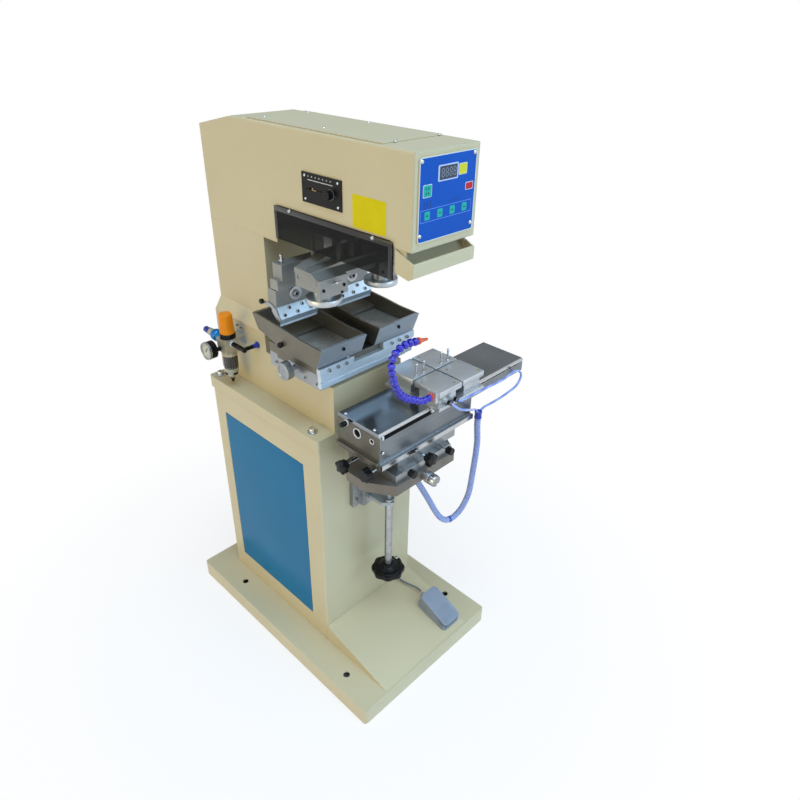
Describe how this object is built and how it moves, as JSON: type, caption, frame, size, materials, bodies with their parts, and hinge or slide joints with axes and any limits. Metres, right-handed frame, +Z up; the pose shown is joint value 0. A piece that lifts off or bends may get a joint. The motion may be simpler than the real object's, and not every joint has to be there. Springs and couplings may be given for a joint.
{
  "type": "pad printing machine",
  "caption": "Floor-standing pneumatic pad printer with twin open ink trays, a travelling pad head on a column, a sliding fixture shuttle, a cabinet and a foot pedal.",
  "frame": {"origin": "middle of the base pan's underside, on the floor", "axes": "+Z up; the operator stands at -Y with the control panel facing -Y; the shuttle's long end points to +X"},
  "size_m": [0.624, 0.74, 1.3648],
  "materials": {
    "cream_paint": "smooth satin powder paint",
    "blue_paint": "satin powder paint",
    "panel_film": "printed membrane film",
    "black_plastic": "moulded phenolic, faint sheen",
    "smoked_plastic": "dark smoked acrylic",
    "black_anodised": "black anodised",
    "ground_steel": "ground",
    "bright_steel": "polished",
    "grey_casting": "fine sand casting with machined faces",
    "anodised": "clear anodised, machined",
    "dark_iron": "dark painted casting",
    "dark_plate": "dark polished plate",
    "dark_extrusion": "dark anodised, bright edges",
    "blue_beads": "glossy ball segments",
    "blue_tube": "translucent polyurethane",
    "orange_plastic": "moulded",
    "nozzle_plastic": "moulded",
    "pedal_paint": "blue-grey paint",
    "cord_grey": "smooth cord jacket",
    "champagne": "painted die casting",
    "bowl_plastic": "clear moulded bowl over a dark core"
  },
  "bodies": {
    "frame": {"base_plate": "cream_paint", "cabinet": "cream_paint", "valve_block": "anodised", "table_plate": "cream_paint", "column": "cream_paint", "head_shell": "cream_paint", "head_cover": "cream_paint", "control_panel": "panel_film", "stroke_plate": "black_anodised", "side_guard_left": "smoked_plastic", "side_guard_right": "smoked_plastic", "finger_guard": "cream_paint", "rod_frame": "ground_steel", "drive_cylinder": "anodised", "tray_base": "ground_steel", "knee_way": "ground_steel", "screw_bracket": "anodised", "pedal_base": "pedal_paint", "pedal_cord": "cord_grey", "regulator_body": "champagne", "regulator_bowl": "bowl_plastic", "pressure_gauge": "black_plastic"},
    "door": {"cabinet_door": "blue_paint"},
    "stroke_setting": {"stroke_knob": "black_plastic"},
    "carriage": {"print_carriage": "grey_casting", "pad_cylinder": "anodised"},
    "pad_lifter": {"pad_beam": "grey_casting"},
    "pad_left": {"pad_holder_left": "grey_casting"},
    "pad_right": {"pad_holder_right": "grey_casting"},
    "blade_lifter": {"blade_beam": "grey_casting"},
    "blade_left": {"blade_holder_left": "grey_casting", "blade_clamp_left": "anodised"},
    "blade_right": {"blade_holder_right": "grey_casting", "blade_clamp_right": "anodised"},
    "stage": {"tray_stage": "grey_casting", "front_rail": "anodised", "tray_clamp_left": "anodised", "tray_clamp_right": "anodised", "ink_tray_left": "grey_casting", "ink_tray_right": "grey_casting"},
    "stage_knob": {"tray_knob": "anodised"},
    "knee": {"knee_bracket": "anodised", "table_base": "dark_iron"},
    "lift_screw": {"lead_screw": "bright_steel", "handwheel": "black_plastic"},
    "cross_slide_y": {"table_y_plate": "ground_steel", "bundle_hose": "blue_tube"},
    "micrometer": {"micrometer_knob": "anodised"},
    "cross_slide_x": {"table_x_plate": "ground_steel", "shuttle_body": "dark_extrusion", "shuttle_end_plate": "anodised", "shuttle_cover": "dark_plate", "air_tubes": "blue_tube"},
    "star_front": {"star_knob_front": "black_plastic"},
    "star_left": {"star_knob_left": "black_plastic"},
    "shuttle": {"shuttle_carriage": "ground_steel", "blow_hose": "blue_beads"},
    "nozzle": {"blow_nozzle": "nozzle_plastic"},
    "treadle": {"pedal_treadle": "pedal_paint"},
    "pressure_cap": {"regulator_cap": "orange_plastic"}
  },
  "joints": [
    {"name": "door_hinge", "type": "hinge", "parent": "frame", "child": "door", "pos_m": [-0.1585, 0.2569, 0.366], "axis": [0, 0, 1], "range_deg": [-110, 0]},
    {"name": "stroke_slide", "type": "slide", "parent": "frame", "child": "stroke_setting", "axis": [0, 1, 0], "range_m": [-0.012, 0.069]},
    {"name": "carriage_slide", "type": "slide", "parent": "frame", "child": "carriage", "axis": [0, 1, 0], "range_m": [-0.127, 0]},
    {"name": "pad_lift", "type": "slide", "parent": "carriage", "child": "pad_lifter", "axis": [0, 0, 1], "range_m": [-0.08, 0]},
    {"name": "pad_left_slide", "type": "slide", "parent": "pad_lifter", "child": "pad_left", "axis": [1, 0, 0], "range_m": [-0.008, 0.008]},
    {"name": "pad_right_slide", "type": "slide", "parent": "pad_lifter", "child": "pad_right", "axis": [1, 0, 0], "range_m": [-0.008, 0.008]},
    {"name": "blade_lift", "type": "slide", "parent": "carriage", "child": "blade_lifter", "axis": [0, 0, 1], "range_m": [-0.018, 0]},
    {"name": "blade_left_tilt", "type": "hinge", "parent": "blade_lifter", "child": "blade_left", "pos_m": [-0.085, 0.03, 1.0141], "axis": [0, 1, 0], "range_deg": [-2, 2]},
    {"name": "blade_right_tilt", "type": "hinge", "parent": "blade_lifter", "child": "blade_right", "pos_m": [0.085, 0.03, 1.0141], "axis": [0, 1, 0], "range_deg": [-2, 2]},
    {"name": "stage_slide", "type": "slide", "parent": "frame", "child": "stage", "axis": [1, 0, 0], "range_m": [-0.002, 0.002]},
    {"name": "stage_knob_turn", "type": "hinge", "parent": "frame", "child": "stage_knob", "pos_m": [-0.135, -0.034, 0.863], "axis": [1, 0, 0], "range_deg": [-485, 485]},
    {"name": "knee_lift", "type": "slide", "parent": "frame", "child": "knee", "axis": [0, 0, 1], "range_m": [-0.03, 0.03]},
    {"name": "lift_screw_turn", "type": "hinge", "parent": "frame", "child": "lift_screw", "pos_m": [0, -0.207, 0.285], "axis": [0, 0, 1], "range_deg": [-2710, 2710]},
    {"name": "cross_slide_y_move", "type": "slide", "parent": "knee", "child": "cross_slide_y", "axis": [0, 1, 0], "range_m": [-0.012, 0.012]},
    {"name": "micrometer_turn", "type": "hinge", "parent": "knee", "child": "micrometer", "pos_m": [-0.007, -0.326, 0.649], "axis": [0, 1, 0], "range_deg": [-2165, 2165]},
    {"name": "cross_slide_x_move", "type": "slide", "parent": "cross_slide_y", "child": "cross_slide_x", "axis": [1, 0, 0], "range_m": [-0.012, 0.012]},
    {"name": "star_front_turn", "type": "hinge", "parent": "cross_slide_x", "child": "star_front", "pos_m": [-0.004, -0.302, 0.6974], "axis": [0, 1, 0], "range_deg": [-360, 360]},
    {"name": "star_left_turn", "type": "hinge", "parent": "cross_slide_x", "child": "star_left", "pos_m": [-0.07, -0.222, 0.6974], "axis": [1, 0, 0], "range_deg": [-360, 360]},
    {"name": "shuttle_slide", "type": "slide", "parent": "cross_slide_x", "child": "shuttle", "axis": [1, 0, 0], "range_m": [-0.085, 0.085]},
    {"name": "nozzle_turn", "type": "hinge", "parent": "shuttle", "child": "nozzle", "pos_m": [-0.0303, -0.31, 0.9889], "axis": [0.9881, 0, -0.1537], "range_deg": [-180, 180]},
    {"name": "treadle_press", "type": "hinge", "parent": "frame", "child": "treadle", "pos_m": [0.12, -0.29602, 0.08773], "axis": [1, 0, 0], "range_deg": [0, 5], "stiffness_Nm_per_rad": 4, "springref_deg": -2.86},
    {"name": "pressure_cap_turn", "type": "hinge", "parent": "frame", "child": "pressure_cap", "pos_m": [-0.15, 0.217, 0.868], "axis": [0, 0, 1], "range_deg": [-540, 540]}
  ],
  "couplings": [
    {"joint": "stage_knob_turn", "follows": "stage_slide", "rad_per_m": 4188.8},
    {"joint": "lift_screw_turn", "follows": "knee_lift", "rad_per_m": 1570.8},
    {"joint": "micrometer_turn", "follows": "cross_slide_y_move", "rad_per_m": 3141.6}
  ]
}
